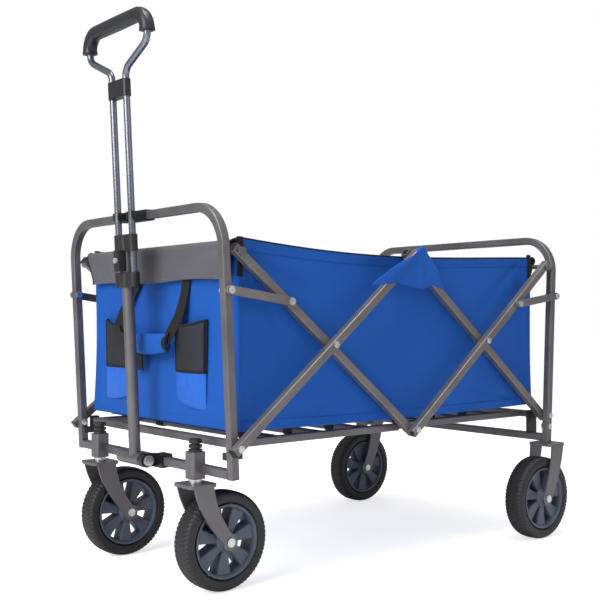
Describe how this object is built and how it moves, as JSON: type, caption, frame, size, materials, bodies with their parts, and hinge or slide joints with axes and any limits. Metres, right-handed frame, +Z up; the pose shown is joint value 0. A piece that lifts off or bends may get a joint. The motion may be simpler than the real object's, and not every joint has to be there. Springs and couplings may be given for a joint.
{
  "type": "folding utility wagon",
  "caption": "Folding fabric wagon with scissor side frames, swivel front wheels, a slatted folding floor and a telescoping pull handle.",
  "frame": {"origin": "on the ground, midway between the two end frames, on the wagon's centre plane", "axes": "+Z up, -Y towards the pull handle, +X across the wagon"},
  "size_m": [0.636, 0.9926, 1.0459],
  "materials": {
    "frame_metal": "satin",
    "bar_metal": "satin",
    "steel": "satin",
    "black_plastic": "matte",
    "button_plastic": "satin",
    "blue_fabric": "woven",
    "grey_fabric": "woven",
    "webbing": "woven",
    "board": "woven",
    "tyre_rubber": "matte",
    "rim_plastic": "satin",
    "handle_metal": "satin"
  },
  "bodies": {
    "front_frame": {"front_frame_tube": "frame_metal", "front_crossbar": "frame_metal", "caster_housings": "frame_metal", "rest_caps": "black_plastic", "handle_bracket": "black_plastic", "handle_clip": "black_plastic", "front_pivot_bolts": "steel", "front_floor_hinges": "black_plastic"},
    "outer_front_bars": {"outer_bars_front": "bar_metal", "outer_bar_bolts": "steel", "outer_bar_caps": "black_plastic"},
    "inner_front_bars": {"inner_bars_front": "bar_metal", "inner_bar_caps": "black_plastic"},
    "inner_rear_bars": {"inner_bars_rear": "bar_metal", "inner_bar_bolts": "steel"},
    "outer_rear_bars": {"outer_bars_rear": "bar_metal", "bottom_bolts": "steel"},
    "rear_frame": {"rear_frame_tube": "frame_metal", "rear_crossbar": "frame_metal", "rear_forks": "frame_metal", "rear_bolts": "steel", "rear_floor_hinges": "black_plastic"},
    "front_link_pair": {"front_links": "bar_metal", "front_link_rivets": "steel"},
    "rear_link_pair": {"rear_links": "bar_metal", "rear_link_rivets": "steel"},
    "front_panel_set": {"front_rod": "frame_metal", "front_panel": "blue_fabric", "front_flap": "grey_fabric", "cup_pockets": "blue_fabric", "carry_handle": "webbing", "side_panels": "blue_fabric", "centre_flaps": "blue_fabric"},
    "rear_panel_set": {"rear_rod": "frame_metal", "rear_panel": "blue_fabric", "rear_flap": "grey_fabric"},
    "front_floor": {"front_floor_frame": "frame_metal", "front_floor_board": "board", "front_floor_ties": "webbing"},
    "rear_floor": {"rear_floor_frame": "frame_metal", "rear_floor_board": "board", "rear_floor_ties": "webbing"},
    "caster_left": {"caster_fork_left": "frame_metal", "caster_axle_left": "steel"},
    "caster_right": {"caster_fork_right": "frame_metal", "caster_axle_right": "steel"},
    "wheel_front_left": {"tyre_front_left": "tyre_rubber", "rim_front_left": "rim_plastic"},
    "wheel_front_right": {"tyre_front_right": "tyre_rubber", "rim_front_right": "rim_plastic"},
    "wheel_rear_left": {"tyre_rear_left": "tyre_rubber", "rim_rear_left": "rim_plastic"},
    "wheel_rear_right": {"tyre_rear_right": "tyre_rubber", "rim_rear_right": "rim_plastic"},
    "lower_handle": {"handle_pole": "frame_metal", "pole_block": "black_plastic"},
    "upper_handle": {"handle_tubes": "handle_metal", "slide_blocks": "black_plastic", "grip": "black_plastic"},
    "handle_button": {"latch_button": "button_plastic"}
  },
  "joints": [
    {"name": "fold", "type": "hinge", "parent": "front_frame", "child": "outer_front_bars", "pos_m": [0, -0.428, 0.266], "axis": [1, 0, 0], "range_deg": [0, 41.5], "deforming": ["side_panels", "centre_flaps"]},
    {"name": "front_cross_turn", "type": "hinge", "parent": "outer_front_bars", "child": "inner_front_bars", "pos_m": [0, -0.214, 0.43622], "axis": [1, 0, 0], "range_deg": [-84, 0]},
    {"name": "top_centre_turn", "type": "hinge", "parent": "outer_front_bars", "child": "inner_rear_bars", "pos_m": [0, 0, 0.60645], "axis": [1, 0, 0], "range_deg": [-84, 0]},
    {"name": "rear_cross_turn", "type": "hinge", "parent": "inner_rear_bars", "child": "outer_rear_bars", "pos_m": [0, 0.214, 0.43622], "axis": [1, 0, 0], "range_deg": [0, 84]},
    {"name": "rear_frame_turn", "type": "hinge", "parent": "inner_rear_bars", "child": "rear_frame", "pos_m": [0, 0.428, 0.266], "axis": [1, 0, 0], "range_deg": [0, 42.5]},
    {"name": "front_link_turn", "type": "hinge", "parent": "front_frame", "child": "front_link_pair", "pos_m": [0, -0.44194, 0.532], "axis": [1, 0, 0], "range_deg": [0, 81.43]},
    {"name": "rear_link_turn", "type": "hinge", "parent": "rear_frame", "child": "rear_link_pair", "pos_m": [0, 0.44194, 0.532], "axis": [1, 0, 0], "range_deg": [-81.43, 0]},
    {"name": "front_rod_turn", "type": "hinge", "parent": "inner_front_bars", "child": "front_panel_set", "pos_m": [0, -0.417, 0.5977], "axis": [1, 0, 0], "range_deg": [0, 42.5]},
    {"name": "rear_rod_turn", "type": "hinge", "parent": "outer_rear_bars", "child": "rear_panel_set", "pos_m": [0, 0.417, 0.5977], "axis": [1, 0, 0], "range_deg": [-42.5, 0]},
    {"name": "front_floor_turn", "type": "hinge", "parent": "front_frame", "child": "front_floor", "pos_m": [0, -0.408, 0.268], "axis": [1, 0, 0], "range_deg": [0, 80.41]},
    {"name": "rear_floor_turn", "type": "hinge", "parent": "rear_frame", "child": "rear_floor", "pos_m": [0, 0.408, 0.268], "axis": [1, 0, 0], "range_deg": [-80.41, 0]},
    {"name": "caster_left_swivel", "type": "hinge", "parent": "front_frame", "child": "caster_left", "pos_m": [0.172, -0.43859, 0.2], "axis": [0, 0, 1], "continuous": true},
    {"name": "caster_right_swivel", "type": "hinge", "parent": "front_frame", "child": "caster_right", "pos_m": [-0.172, -0.43859, 0.2], "axis": [0, 0, 1], "continuous": true},
    {"name": "wheel_front_left_spin", "type": "hinge", "parent": "caster_left", "child": "wheel_front_left", "pos_m": [0.172, -0.38359, 0.089], "axis": [1, 0, 0], "continuous": true},
    {"name": "wheel_front_right_spin", "type": "hinge", "parent": "caster_right", "child": "wheel_front_right", "pos_m": [-0.172, -0.38359, 0.089], "axis": [1, 0, 0], "continuous": true},
    {"name": "wheel_rear_left_spin", "type": "hinge", "parent": "rear_frame", "child": "wheel_rear_left", "pos_m": [0.284, 0.38827, 0.089], "axis": [1, 0, 0], "continuous": true},
    {"name": "wheel_rear_right_spin", "type": "hinge", "parent": "rear_frame", "child": "wheel_rear_right", "pos_m": [-0.284, 0.38827, 0.089], "axis": [1, 0, 0], "continuous": true},
    {"name": "handle_tilt", "type": "hinge", "parent": "front_frame", "child": "lower_handle", "pos_m": [0, -0.458, 0.222], "axis": [1, 0, 0], "range_deg": [0, 90]},
    {"name": "handle_slide", "type": "slide", "parent": "lower_handle", "child": "upper_handle", "axis": [0, -0.0523, 0.9986], "range_m": [-0.2, 0]},
    {"name": "button_press", "type": "slide", "parent": "lower_handle", "child": "handle_button", "axis": [0, 0.9986, 0.0523], "range_m": [0, 0.003], "stiffness_N_per_m": 400, "springref_m": -0.001}
  ],
  "couplings": [
    {"joint": "front_cross_turn", "follows": "fold", "ratio": -2},
    {"joint": "top_centre_turn", "follows": "fold", "ratio": -2},
    {"joint": "rear_cross_turn", "follows": "fold", "ratio": 2},
    {"joint": "rear_frame_turn", "follows": "fold", "ratio": 1},
    {"joint": "front_link_turn", "follows": "fold", "ratio": 1.938},
    {"joint": "rear_link_turn", "follows": "fold", "ratio": -1.938},
    {"joint": "front_rod_turn", "follows": "fold", "ratio": 1},
    {"joint": "rear_rod_turn", "follows": "fold", "ratio": -1},
    {"joint": "front_floor_turn", "follows": "fold", "ratio": 1.9135},
    {"joint": "rear_floor_turn", "follows": "fold", "ratio": -1.9135}
  ]
}
